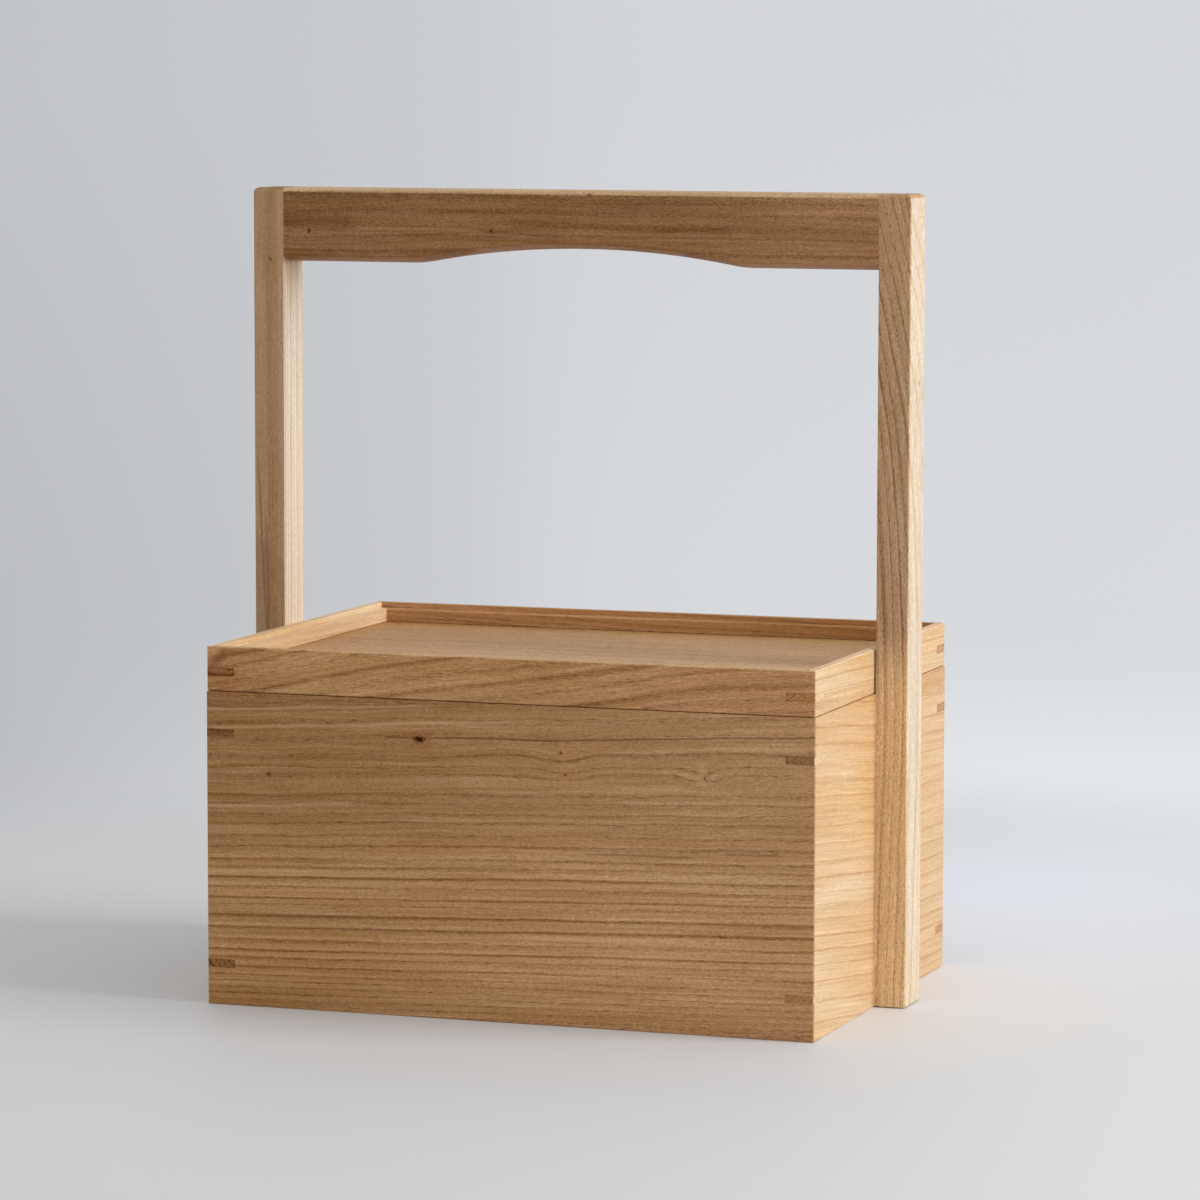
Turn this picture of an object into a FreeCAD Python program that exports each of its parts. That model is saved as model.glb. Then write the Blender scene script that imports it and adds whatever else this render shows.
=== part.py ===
import FreeCAD, Part
import Sketcher
import math
import os
import re

# A wooden carrying box for tea utensils: a mitred box, a lid that lifts off, and a bridge handle.
# X runs along the front, Y towards the rear and Z up. The origin is on the floor, under the
# middle of the box. All sizes are in millimetres.

SIZES = {
    # the box
    "body_width": 300.0,        # outside, along the front
    "body_depth": 218.0,        # outside, front to rear
    "wall_height": 149.2,       # floor to the shoulder that shows under the lid
    "board": 9.0,               # thickness of the four walls
    "bottom_lift": 6.0,         # floor to the underside of the bottom board
    "bottom_thickness": 5.0,
    "groove_depth": 3.5,        # grooves in the walls for the bottom board
    "corner_chamfer": 0.6,      # legs of the chamfer on each upright corner
    "edge_chamfer": 0.4,        # legs of the chamfer on the other outer edges
    # the lid
    "lid_height": 20.9,
    "lid_board": 8.8,           # thickness of the four lid rails
    "lid_inset": 0.3,           # how far the lid stays inside the faces of the box, all round
    "seam_gap": 0.3,            # shadow line between the walls' shoulder and the lid
    "lip_width": 4.4,           # outer lip of the lid, above and below its steps
    "lip_height": 2.7,
    "lip_clearance": 0.3,       # between the lower lip and the tongue of the walls
    "panel_drop": 9.3,          # rim of the lid to the top of its panel
    "panel_thickness": 5.0,
    "lid_groove_depth": 3.0,    # grooves in the lid rails for the panel
    "panel_play": 0.3,          # left round the edge of a board in its groove
    "groove_play": 0.2,         # left above a board in its groove
    # the keys across the mitres
    "key_leg": 14.0,            # length that shows on each face
    "key_thickness": 4.0,
    "key_margin": 19.7,         # wall's edge to the middle of the nearer key
    "lid_key_drop": 12.0,       # rim of the lid to the middle of its key
    # the handle
    "handle_height": 383.3,     # floor to the top of the handle
    "post_thickness": 15.6,
    "post_width": 24.2,
    "foot_gap": 0.5,            # the box stands on its walls, and the posts stay just clear
    "rail_height": 35.7,        # at its ends
    "arch_length": 162.0,       # hand arch under the rail
    "arch_rise": 7.8,
    "arch_blend": 50.0,         # radius where the arch runs into the straight underside
    "crown_height": 3.0,        # how far the underside curves up to the rail's faces
    "crown_allowance": 1.0,     # wood left under the rail before its underside is shaped
    "grip_round": 1.6,          # radius where the crowned underside meets the rail's faces
    "top_round": 2.2,           # radius along the top of the rail and the posts
    "shoulder_round": 3.0,      # radius of the outer top corner of each post
    "post_chamfer": 0.6,        # legs of the chamfer on the posts' upright edges and feet
    "tenon_length": 10.0,       # the rail's blind tenons
    "tenon_thickness": 8.0,
    "tenon_height": 20.0,
    "tenon_clearance": 0.1,
    "mortise_spare": 0.5,       # empty depth beyond the tenon's end
    "dowel_diameter": 6.0,      # hidden dowels between each post and its wall
    "dowel_in_wall": 5.5,
    "dowel_in_post": 8.5,
    "dowel_clearance": 0.05,
    "dowel_spare": 0.4,         # empty depth beyond each end of a dowel
    "dowel_low": 35.0,          # floor to the lowest dowel
    "dowel_pitch": 40.0,
}
DOWELS_PER_POST = 3
BEYOND = 5.0                    # how far the outline of a cut reaches past the solid that it cuts
TOLERANCE = 0.01                # within this, two points of the model are in the same place
LEAST_CUT = 1e-6                # cubic millimetres that a cut must take away

# Each corner of the box is a copy of the front right one, turned about Z.
QUARTER_TURNS = {"front": 0, "right": 90, "rear": 180, "left": 270}
CORNERS = {"front_right": 0, "rear_right": 90, "rear_left": 180, "front_left": 270}

# Widths that several pieces share, as expressions of the sizes above.
REBATE = "(lid_inset + lip_width + lip_clearance)"
LID_WIDTH = "(body_width - 2 * lid_inset)"
LID_DEPTH = "(body_depth - 2 * lid_inset)"
LID_FOOT = "(wall_height + seam_gap)"
PANEL_TOP = "(lid_height - panel_drop)"
PANEL_FOOT = "(lid_height - panel_drop - panel_thickness)"
BOTTOM_TOP = "(bottom_lift + bottom_thickness)"
ARCH_RADIUS = "((arch_length / 2)^2 + arch_rise^2) / (2 * arch_rise)"
CROWN_RADIUS = "((post_width / 2)^2 + crown_height^2) / (2 * crown_height)"
RAIL_FOOT = "(handle_height - rail_height)"
TENON_FOOT = "(rail_height - tenon_height) / 2"

doc = FreeCAD.newDocument("TeaUtensilBox")
sheet = doc.addObject("Spreadsheet::Sheet", "Sizes")
for row, (name, value) in enumerate(SIZES.items(), start=1):
    sheet.set(f"A{row}", name)
    sheet.set(f"B{row}", str(value))
    sheet.setAlias(f"B{row}", name)
doc.recompute()

subparts = []


def tied(expression):
    """Point every size that the expression names at its cell in the sheet."""
    return re.sub(r"[a-z_]+", lambda word: f"Sizes.{word[0]}" if word[0] in SIZES else word[0], expression)


def worked_out(expression):
    """Give the value of an expression of the sizes, in millimetres."""
    numbers = re.sub(r"[a-z_]+", lambda word: str(SIZES[word[0]]), expression)
    return FreeCAD.Units.parseQuantity(numbers).Value


def new_body(label, turn=0, x="0", y="0", z="0"):
    """Start a piece of its own, turned about Z and placed by three expressions."""
    body = doc.addObject("PartDesign::Body", label)
    body.Label = label
    body.Placement = FreeCAD.Placement(FreeCAD.Vector(), FreeCAD.Rotation(FreeCAD.Vector(0, 0, 1), turn))
    for axis, expression in zip("xyz", (x, y, z)):
        body.setExpression(f"Placement.Base.{axis}", tied(expression))
    subparts.append(body)
    return body


def new_sketch(body, name, role, offset="0"):
    """Start a sketch on one of the body's own origin planes, moved along its normal."""
    sketch = body.newObject("Sketcher::SketchObject", f"{body.Label}_{name}")
    plane = next(feature for feature in body.Origin.OriginFeatures if feature.Role == role)
    sketch.AttachmentSupport = [(plane, "")]
    sketch.MapMode = "FlatFace"
    sketch.setExpression("AttachmentOffset.Base.z", tied(offset))
    return sketch


def hold(sketch, geometry, point, across, up):
    """Hold one point of a sketch at two expressions, counted from the sketch's origin."""
    start = sketch.getPoint(geometry, point)
    for kind, value, expression in (("DistanceX", start.x, across), ("DistanceY", start.y, up)):
        index = sketch.addConstraint(Sketcher.Constraint(kind, -1, 1, geometry, point, value))
        sketch.setExpression(f"Constraints[{index}]", tied(expression))


def polygon(sketch, corners):
    """Draw a closed outline of straight lines through corners, each a pair of expressions.

    The lines start as a ring, and their constraints then pull each corner to its place.
    """
    count = len(corners)
    ring = []
    for index in range(count):
        turn = 2 * math.pi * index / count
        ring.append(FreeCAD.Vector(math.cos(turn), math.sin(turn), 0))
    for index in range(count):
        sketch.addGeometry(Part.LineSegment(ring[index], ring[(index + 1) % count]))
    for index in range(count):
        sketch.addConstraint(Sketcher.Constraint("Coincident", index, 2, (index + 1) % count, 1))
    for index, (across, up) in enumerate(corners):
        hold(sketch, index, 1, across, up)


def rectangle(sketch, left, right, low, high):
    polygon(sketch, [(left, low), (right, low), (right, high), (left, high)])


def circle(sketch, across, up, radius):
    """Draw one circle, its centre and radius held by expressions."""
    index = sketch.addGeometry(Part.Circle(FreeCAD.Vector(1, 1, 0), FreeCAD.Vector(0, 0, 1), 1))
    hold(sketch, index, 3, across, up)
    number = sketch.addConstraint(Sketcher.Constraint("Radius", index, 1.0))
    sketch.setExpression(f"Constraints[{number}]", tied(radius))


def arc_outline(sketch, start, way, end, centre, corners, last_line):
    """Draw one arc and the straight lines that lead from its end, through corners, to its start.

    Every point is a pair of expressions. The last line is Horizontal or Vertical.
    """
    def place(point):
        return FreeCAD.Vector(worked_out(point[0]), worked_out(point[1]), 0)

    arc = sketch.addGeometry(Part.Arc(place(start), place(way), place(end)))
    points = [end] + corners + [start]
    lines = [sketch.addGeometry(Part.LineSegment(place(a), place(b))) for a, b in zip(points, points[1:])]
    for first, second in zip(lines, lines[1:]):
        sketch.addConstraint(Sketcher.Constraint("Coincident", first, 2, second, 1))
    starts_first = sketch.getPoint(arc, 1).distanceToPoint(place(start)) < TOLERANCE
    arc_start, arc_end = (1, 2) if starts_first else (2, 1)
    sketch.addConstraint(Sketcher.Constraint("Coincident", lines[-1], 2, arc, arc_start))
    sketch.addConstraint(Sketcher.Constraint("Coincident", lines[0], 1, arc, arc_end))
    sketch.addConstraint(Sketcher.Constraint(last_line, lines[-1]))
    hold(sketch, arc, 3, *centre)
    for line, point in zip(lines, points[:-1]):
        hold(sketch, line, 1, *point)


def round_off(sketch, side, across, up, radius):
    """Draw what a quarter round takes off an upper corner; side is 1 on the right and -1 on the left."""
    corner_x = f"{side} * ({across})"
    centre_x = f"{side} * ({across} - {radius})"
    beyond_x = f"{side} * ({across} + {BEYOND})"
    centre_z = f"{up} - {radius}"
    beyond_z = f"{up} + {BEYOND}"
    slant = f"{math.cos(math.pi / 4)} * {radius}"
    arc_outline(
        sketch,
        start=(centre_x, up),
        way=(f"{centre_x} + {side} * {slant}", f"{centre_z} + {slant}"),
        end=(corner_x, centre_z),
        centre=(centre_x, centre_z),
        corners=[(beyond_x, centre_z), (beyond_x, beyond_z), (centre_x, beyond_z)],
        last_line="Vertical",
    )


def pad(body, sketch, length, both_ways=False, backwards=False):
    """Raise a sketch into solid wood."""
    feature = body.newObject("PartDesign::Pad", f"{sketch.Name}_pad")
    feature.Profile = sketch
    feature.SideType = "Symmetric" if both_ways else "One side"
    feature.Reversed = backwards
    feature.setExpression("Length", tied(length))


def pocket(body, sketch, depth=None, along_normal=False):
    """Cut a sketch out of the body: to a depth, or right through both ways if none is given."""
    feature = body.newObject("PartDesign::Pocket", f"{sketch.Name}_pocket")
    feature.Profile = sketch
    feature.Reversed = along_normal
    if depth is None:
        feature.SideType = "Symmetric"
        feature.Type = "ThroughAll"
    else:
        feature.setExpression("Length", tied(depth))


def edges_where(feature, test):
    """Name the edges of a feature that lie wholly where the test holds."""
    names = []
    for index, edge in enumerate(feature.Shape.Edges, start=1):
        points = [vertex.Point for vertex in edge.Vertexes] + [edge.CenterOfMass]
        if all(test(point) for point in points):
            names.append(f"Edge{index}")
    return names


def ease_edges(body, kind, name, size, test):
    """Fillet or chamfer the edges of the body that lie wholly where the test holds."""
    doc.recompute()
    base = body.Tip
    feature = body.newObject(f"PartDesign::{kind}", f"{body.Label}_{name}")
    feature.Base = (base, edges_where(base, test))
    feature.setExpression("Radius" if kind == "Fillet" else "Size", tied(size))


def near(value, target):
    return abs(value - target) < TOLERANCE


def corner_cut(body, name, side, length, leg, top="0", height=None):
    """Cut across one end of a board, at 45 degrees to both faces of its corner.

    The cut meets the outer face at a leg's length from the end. It runs the full height of the
    board for a chamfer, or is as high as a saw cut for a key.
    """
    sketch = new_sketch(body, name, "XY_Plane", top)
    end = f"{side} * ({length} / 2"
    polygon(sketch, [
        (f"{end} - 2 * {leg})", f"-{leg}"),
        (f"{end} + {leg})", f"2 * {leg}"),
        (f"{end} + {leg})", f"-{leg}"),
    ])
    pocket(body, sketch, height)


def mitred_board(label, turn, length, thickness, section, key_tops, x="0", y="0", z="0"):
    """Make one board of a mitred frame, with its outer face on its own XZ plane.

    The section is drawn across the board and run along X. Both ends are then mitred and eased,
    and sawn for a key below each of the heights in key_tops.
    """
    body = new_body(label, turn, x, y, z)
    profile = new_sketch(body, "section", "YZ_Plane")
    polygon(profile, section)
    pad(body, profile, length, both_ways=True)
    for side, end_name in ((-1, "left"), (1, "right")):
        mitre = new_sketch(body, f"{end_name}_mitre", "XY_Plane")
        end = f"{side} * ({length} / 2"
        polygon(mitre, [
            (f"{end} + {thickness})", f"-{thickness}"),
            (f"{end} - 2 * {thickness})", f"2 * {thickness}"),
            (f"{end} + {thickness})", f"2 * {thickness}"),
        ])
        pocket(body, mitre)
        corner_cut(body, f"{end_name}_chamfer", side, length, "corner_chamfer")
        for number, top in enumerate(key_tops, start=1):
            corner_cut(body, f"{end_name}_key_slot_{number}", side, length, "key_leg", top, "key_thickness")
    return body


def corner_key(label, turn, x, y, z):
    """Make one key: a thin triangle that fills its saw cut, flush with both faces of the corner."""
    body = new_body(label, turn, x, y, z)
    plan = new_sketch(body, "plan", "XY_Plane")
    polygon(plan, [
        ("-key_leg", "0"),
        ("-corner_chamfer", "0"),
        ("0", "corner_chamfer"),
        ("0", "key_leg"),
    ])
    pad(body, plan, "key_thickness")


def corner_place(turn, width, depth):
    """Give the x and y of the corner of a frame that the front right one turns to."""
    across = {0: "1", 90: "1", 180: "-1", 270: "-1"}[turn]
    back = {0: "-1", 90: "1", 180: "1", 270: "-1"}[turn]
    return f"{across} * {width} / 2", f"{back} * {depth} / 2"


def frame_side(turn, width, depth):
    """Give a side's length and the x and y of the middle of its outer face."""
    if turn in (0, 180):
        return width, "0", f"{-1 if turn == 0 else 1} * {depth} / 2"
    return depth, f"{1 if turn == 90 else -1} * {width} / 2", "0"


def dowel_heights():
    return [f"dowel_low + {index} * dowel_pitch" for index in range(DOWELS_PER_POST)]


def make_walls():
    """Four boards with a groove for the bottom and a tongue that stands up inside the lid."""
    tongue_top = f"{LID_FOOT} + lip_height"
    section = [
        ("edge_chamfer", "0"),
        ("board", "0"),
        ("board", "bottom_lift"),
        ("board - groove_depth", "bottom_lift"),
        ("board - groove_depth", f"{BOTTOM_TOP} + groove_play"),
        ("board", f"{BOTTOM_TOP} + groove_play"),
        ("board", tongue_top),
        (REBATE, tongue_top),
        (REBATE, "wall_height"),
        ("edge_chamfer", "wall_height"),
        ("0", "wall_height - edge_chamfer"),
        ("0", "edge_chamfer"),
    ]
    key_tops = ["key_margin + key_thickness / 2", "wall_height - key_margin + key_thickness / 2"]
    for side, turn in QUARTER_TURNS.items():
        length, x, y = frame_side(turn, "body_width", "body_depth")
        wall = mitred_board(f"{side}_wall", turn, length, "board", section, key_tops, x, y)
        if side in ("left", "right"):
            holes = new_sketch(wall, "dowel_holes", "XZ_Plane")
            for height in dowel_heights():
                circle(holes, "0", height, "dowel_diameter / 2 + dowel_clearance")
            pocket(wall, holes, "dowel_in_wall + dowel_spare")


def make_wall_keys():
    """Two keys across each corner of the box."""
    feet = {
        "lower": "key_margin - key_thickness / 2",
        "upper": "wall_height - key_margin - key_thickness / 2",
    }
    for corner, turn in CORNERS.items():
        x, y = corner_place(turn, "body_width", "body_depth")
        for level, foot in feet.items():
            corner_key(f"{corner}_{level}_key", turn, x, y, foot)


def make_bottom_board():
    """A loose board in the walls' grooves, with play round its edge for the wood to move."""
    body = new_body("bottom_board", z="bottom_lift")
    plan = new_sketch(body, "plan", "XY_Plane")
    half_width = "(body_width / 2 - board + groove_depth - panel_play)"
    half_depth = "(body_depth / 2 - board + groove_depth - panel_play)"
    rectangle(plan, f"-{half_width}", half_width, f"-{half_depth}", half_depth)
    pad(body, plan, "bottom_thickness")


def make_lid_rails():
    """Four rails with the same step above and below, and a groove for the panel."""
    section = [
        ("edge_chamfer", "0"),
        ("lip_width", "0"),
        ("lip_width", "lip_height"),
        ("lid_board", "lip_height"),
        ("lid_board", PANEL_FOOT),
        ("lid_board - lid_groove_depth", PANEL_FOOT),
        ("lid_board - lid_groove_depth", f"{PANEL_TOP} + groove_play"),
        ("lid_board", f"{PANEL_TOP} + groove_play"),
        ("lid_board", "lid_height - lip_height"),
        ("lip_width", "lid_height - lip_height"),
        ("lip_width", "lid_height"),
        ("edge_chamfer", "lid_height"),
        ("0", "lid_height - edge_chamfer"),
        ("0", "edge_chamfer"),
    ]
    key_tops = ["lid_height - lid_key_drop + key_thickness / 2"]
    for side, turn in QUARTER_TURNS.items():
        length, x, y = frame_side(turn, LID_WIDTH, LID_DEPTH)
        mitred_board(f"lid_{side}_rail", turn, length, "lid_board", section, key_tops, x, y, LID_FOOT)


def make_lid_keys():
    """One key across each corner of the lid."""
    foot = f"{LID_FOOT} + lid_height - lid_key_drop - key_thickness / 2"
    for corner, turn in CORNERS.items():
        x, y = corner_place(turn, LID_WIDTH, LID_DEPTH)
        corner_key(f"lid_{corner}_key", turn, x, y, foot)


def make_lid_panel():
    """A loose panel in the rails' grooves. Its corners are clipped to pass behind the keys."""
    body = new_body("lid_panel", z=f"{LID_FOOT} + {PANEL_FOOT}")
    edge = "(lid_board - lid_groove_depth + panel_play)"
    half_width = f"({LID_WIDTH} / 2 - {edge})"
    half_depth = f"({LID_DEPTH} / 2 - {edge})"
    clip = f"max(key_leg + panel_play - 2 * {edge}; edge_chamfer)"
    plan = new_sketch(body, "plan", "XY_Plane")
    corners = []
    for across, back in ((1, 1), (-1, 1), (-1, -1), (1, -1)):
        side_point = (f"{across} * {half_width}", f"{back} * ({half_depth} - {clip})")
        end_point = (f"{across} * ({half_width} - {clip})", f"{back} * {half_depth}")
        corners += [side_point, end_point] if across == back else [end_point, side_point]
    polygon(plan, corners)
    pad(body, plan, "panel_thickness")


def make_post(label, side, turn):
    """One upright of the handle, with its inner face on its own YZ plane."""
    body = new_body(label, turn, f"{side} * body_width / 2", "0", "foot_gap")
    length = "(handle_height - foot_gap)"
    plan = new_sketch(body, "plan", "XY_Plane")
    polygon(plan, [
        ("0", "-post_width / 2"),
        ("post_thickness - post_chamfer", "-post_width / 2"),
        ("post_thickness", "-post_width / 2 + post_chamfer"),
        ("post_thickness", "post_width / 2 - post_chamfer"),
        ("post_thickness - post_chamfer", "post_width / 2"),
        ("0", "post_width / 2"),
    ])
    pad(body, plan, length)
    shoulder = new_sketch(body, "shoulder", "XZ_Plane")
    round_off(shoulder, 1, "post_thickness", length, "shoulder_round")
    pocket(body, shoulder)
    for face, face_name in ((-1, "front"), (1, "rear")):
        top = new_sketch(body, f"{face_name}_top", "YZ_Plane")
        round_off(top, face, "post_width / 2", length, "top_round")
        pocket(body, top)
    ease_edges(body, "Chamfer", "foot", "post_chamfer", lambda p: near(p.z, 0) and not near(p.x, 0))

    mortise = new_sketch(body, "mortise", "YZ_Plane")
    half = "(tenon_thickness / 2 + tenon_clearance)"
    low = f"{RAIL_FOOT} + {TENON_FOOT} - foot_gap - tenon_clearance"
    rectangle(mortise, f"-{half}", half, low, f"{low} + tenon_height + 2 * tenon_clearance")
    pocket(body, mortise, "tenon_length + mortise_spare", along_normal=True)

    holes = new_sketch(body, "dowel_holes", "YZ_Plane")
    for height in dowel_heights():
        circle(holes, "0", f"{height} - foot_gap", "dowel_diameter / 2 + dowel_clearance")
    pocket(body, holes, "dowel_in_post + dowel_spare", along_normal=True)


def make_handle_rail():
    """The rail between the posts, arched and crowned underneath, with a blind tenon at each end."""
    body = new_body("handle_rail", z=RAIL_FOOT)
    blank = new_sketch(body, "blank", "XZ_Plane")
    rectangle(blank, "-body_width / 2", "body_width / 2", "-crown_allowance", "rail_height")
    pad(body, blank, "post_width", both_ways=True)
    arch = new_sketch(body, "arch", "XZ_Plane")
    circle(arch, "0", f"arch_rise - {ARCH_RADIUS}", f"{ARCH_RADIUS} - crown_allowance")
    pocket(body, arch)
    inside = SIZES["body_width"] / 2 - BEYOND
    face = SIZES["post_width"] / 2
    foot = -SIZES["crown_allowance"]
    ease_edges(body, "Fillet", "arch_ends", "arch_blend", lambda p: near(p.z, foot) and abs(p.x) < inside)
    shape_crown(body, face)
    underside = SIZES["arch_rise"] + SIZES["crown_height"] + SIZES["crown_allowance"]
    ease_edges(body, "Fillet", "grip", "grip_round", lambda p: near(abs(p.y), face) and p.z < underside)
    top = SIZES["rail_height"]
    ease_edges(body, "Fillet", "top", "top_round", lambda p: near(p.z, top) and near(abs(p.y), face))
    half = "tenon_thickness / 2"
    for side, end_name in ((-1, "left"), (1, "right")):
        tenon = new_sketch(body, f"{end_name}_tenon", "YZ_Plane", f"{side} * body_width / 2")
        rectangle(tenon, f"-{half}", half, TENON_FOOT, f"{TENON_FOOT} + tenon_height")
        pad(body, tenon, "tenon_length", backwards=side < 0)


def shape_crown(body, face):
    """Plane the rail's underside to one shallow arc across it, all along the arch."""
    doc.recompute()
    blank = body.Tip
    highest = SIZES["arch_rise"]
    profile = new_sketch(body, "crown", "YZ_Plane", "-body_width / 2")
    half = "post_width / 2"
    wide = f"({half} + {BEYOND})"
    rise = "crown_height"
    below = f"-{BEYOND}"
    arc_outline(
        profile,
        start=(f"-{half}", rise),
        way=("0", "0"),
        end=(half, rise),
        centre=("0", CROWN_RADIUS),
        corners=[(wide, rise), (wide, below), (f"-{wide}", below), (f"-{wide}", rise)],
        last_line="Horizontal",
    )
    cut = body.newObject("PartDesign::SubtractivePipe", "handle_rail_crown_cut")
    cut.Profile = profile
    cut.Spine = (blank, edges_where(blank, lambda p: near(p.y, -face) and p.z < highest))
    cut.Mode = "Frenet"


def make_dowels(label, side):
    """The hidden dowels between one post and its wall, as one group of separate solids."""
    dowels = []
    for index, height in enumerate(dowel_heights(), start=1):
        dowel = doc.addObject("Part::Cylinder", f"{label}_{index}")
        dowel.Placement = FreeCAD.Placement(FreeCAD.Vector(), FreeCAD.Rotation(FreeCAD.Vector(0, 1, 0), 90))
        dowel.setExpression("Radius", tied("dowel_diameter / 2"))
        dowel.setExpression("Height", tied("dowel_in_wall + dowel_in_post"))
        buried = "dowel_in_wall" if side > 0 else "dowel_in_post"
        dowel.setExpression("Placement.Base.x", tied(f"{side} * body_width / 2 - {buried}"))
        dowel.setExpression("Placement.Base.z", tied(height))
        dowels.append(dowel)
    group = doc.addObject("Part::Compound", label)
    group.Label = label
    group.Links = dowels
    subparts.append(group)


def check_document():
    """Stop if any object failed, any sub-part is not sound, or any cut took nothing away."""
    for item in doc.Objects:
        if "Invalid" in item.State or "Error" in item.State:
            raise RuntimeError(f"{item.Label} failed: {item.State}")
        if item.TypeId in ("PartDesign::Pocket", "PartDesign::SubtractivePipe"):
            if item.Shape.Volume > item.BaseFeature.Shape.Volume - LEAST_CUT:
                raise RuntimeError(f"{item.Label} cuts nothing")
    for part in subparts:
        solids = DOWELS_PER_POST if part.Label.endswith("_dowels") else 1
        if part.Shape.isNull() or not part.Shape.isValid() or len(part.Shape.Solids) != solids:
            raise RuntimeError(f"{part.Label} is not {solids} sound solid(s)")


make_walls()
make_wall_keys()
make_bottom_board()
make_post("left_post", -1, 180)
make_post("right_post", 1, 0)
make_handle_rail()
make_dowels("left_post_dowels", -1)
make_dowels("right_post_dowels", 1)
make_lid_rails()
make_lid_keys()
make_lid_panel()
doc.recompute()
check_document()

os.makedirs("parts", exist_ok=True)
for part in subparts:
    part.Shape.exportStep(f"parts/{part.Label}.step")
    print(f"{part.Label}: {part.Shape.Volume / 1000:.2f} cm3")
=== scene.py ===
import math

import bmesh
import bpy
from mathutils import Matrix, Vector


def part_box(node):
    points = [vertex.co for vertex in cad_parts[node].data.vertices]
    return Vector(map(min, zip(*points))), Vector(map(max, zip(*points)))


# Tea utensil box in oiled chestnut: a mitred box with keyed corners, a lid that is also a tray,
# and a tall bridge handle. Every board has its own grain, set out in millimetres.

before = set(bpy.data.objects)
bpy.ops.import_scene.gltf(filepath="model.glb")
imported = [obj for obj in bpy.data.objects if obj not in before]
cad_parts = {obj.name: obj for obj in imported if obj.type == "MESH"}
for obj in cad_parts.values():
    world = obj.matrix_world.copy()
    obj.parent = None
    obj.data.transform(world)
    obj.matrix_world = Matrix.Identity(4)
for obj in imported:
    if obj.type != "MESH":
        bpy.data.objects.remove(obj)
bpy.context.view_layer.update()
scene = bpy.context.scene
print("frame loaded:", len(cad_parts), "pieces")

toMm = 1000     # boards are set out in millimetres, and Blender works in metres
facing = {"front": (0, -1, 0), "right": (1, 0, 0), "rear": (0, 1, 0), "left": (-1, 0, 0)}


def middleOf(node):
    low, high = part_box(node)
    return (low + high) / 2 * toMm


def linear(hexColour):
    # sRGB hex to the linear colour that the shaders work in
    parts = [int(hexColour[start:start + 2], 16) / 255 for start in (1, 3, 5)]
    return [part / 12.92 if part <= 0.04045 else ((part + 0.055) / 1.055) ** 2.4 for part in parts] + [1.0]


def addNode(tree, kind, inputs=None, out=None, **settings):
    # inputs go by name or by number among the sockets in use; gives back one output
    node = tree.nodes.new("ShaderNode" + kind)
    for name, value in settings.items():
        setattr(node, name, value)
    used = [socket for socket in node.inputs if socket.enabled]
    for key, value in (inputs or {}).items():
        socket = used[key] if isinstance(key, int) else next(s for s in used if s.name == key)
        if isinstance(value, bpy.types.NodeSocket):
            tree.links.new(value, socket)
        else:
            socket.default_value = value
    return next((s for s in node.outputs if s.enabled and out in (None, s.name)), None)


def between(value, low, high, start=0.0, end=1.0):
    # inputs of a MapRange node: low becomes start and high becomes end
    return {"Value": value, "From Min": low, "From Max": high, "To Min": start, "To Max": end}


eased = {"interpolation_type": "SMOOTHSTEP"}        # a MapRange node that starts and ends gently


def apart(tree, value, other):
    # how far two values are apart
    gap = addNode(tree, "Math", {0: value, 1: other}, operation="SUBTRACT")
    return addNode(tree, "Math", {0: gap}, operation="ABSOLUTE")


def shareAlong(tree, offset, run):
    # how far along a run, as a share of its length
    run = run / run.length_squared
    return addNode(tree, "VectorMath", {0: offset, 1: run}, out="Value", operation="DOT_PRODUCT")


def layered(tree, tone, layers):
    # colours laid over this one in turn, each by its share
    for share, colour in layers:
        colour = linear(colour) if isinstance(colour, str) else colour
        tone = addNode(tree, "Mix", {"Factor": share, "A": tone, "B": colour}, data_type="RGBA")
    return tone


def newMaterial(name):
    material = bpy.data.materials.new(name)
    material.use_nodes = True
    material.node_tree.nodes.clear()
    return material


def follow(tree, value, points):
    # reads a value off a smooth line drawn through these points
    points = sorted(points)
    start, end = points[0][0], points[-1][0]
    heights = [point[1] for point in points]
    low, high = min(heights), max(heights)
    share = addNode(tree, "MapRange", between(value, start, end))
    drawn = addNode(tree, "FloatCurve", {"Value": share})
    curve = drawn.node.mapping.curves[0]
    while len(curve.points) < len(points):
        curve.points.new(0.5, 0.5)
    for knob, point in zip(curve.points, points):
        knob.location = ((point[0] - start) / (end - start), (point[1] - low) / (high - low))
        knob.handle_type = "AUTO_CLAMPED"
    drawn.node.mapping.update()
    return addNode(tree, "MapRange", between(drawn, 0, 1, low, high))


def spot(tree, place, centre, size):
    # distance from a spot, as a share of the size it is given
    deep = 1 / size[2] if len(size) > 2 else 0
    near = addNode(tree, "Mapping", {
        "Vector": place,
        "Location": (-centre.x / size[0], -centre.y / size[1], -centre.z * deep),
        "Scale": (1 / size[0], 1 / size[1], deep),
    })
    return near, addNode(tree, "VectorMath", {0: near}, out="Value", operation="LENGTH")


# Camera, where the photograph was taken from

cameraSet = {
    "place": (0.8492, -2.4112, 0.4551),     # metres
    "yaw": 19.223,                          # degrees to the left
    "pitch": 5.988,                         # degrees down
    "roll": 0.089,
    "lens": 160.5,                          # mm, on a sensor 36 mm wide
}


def makeCamera():
    data = bpy.data.cameras.new("camera")
    data.sensor_width = 36
    data.lens = cameraSet["lens"]
    data.clip_end = 50
    camera = bpy.data.objects.new("camera", data)
    turn = Matrix.Rotation(math.radians(cameraSet["yaw"]), 4, "Z")
    turn = turn @ Matrix.Rotation(math.radians(90 - cameraSet["pitch"]), 4, "X")
    turn = turn @ Matrix.Rotation(math.radians(cameraSet["roll"]), 4, "Z")
    camera.matrix_world = Matrix.Translation(cameraSet["place"]) @ turn
    scene.collection.objects.link(camera)
    scene.camera = camera


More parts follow.
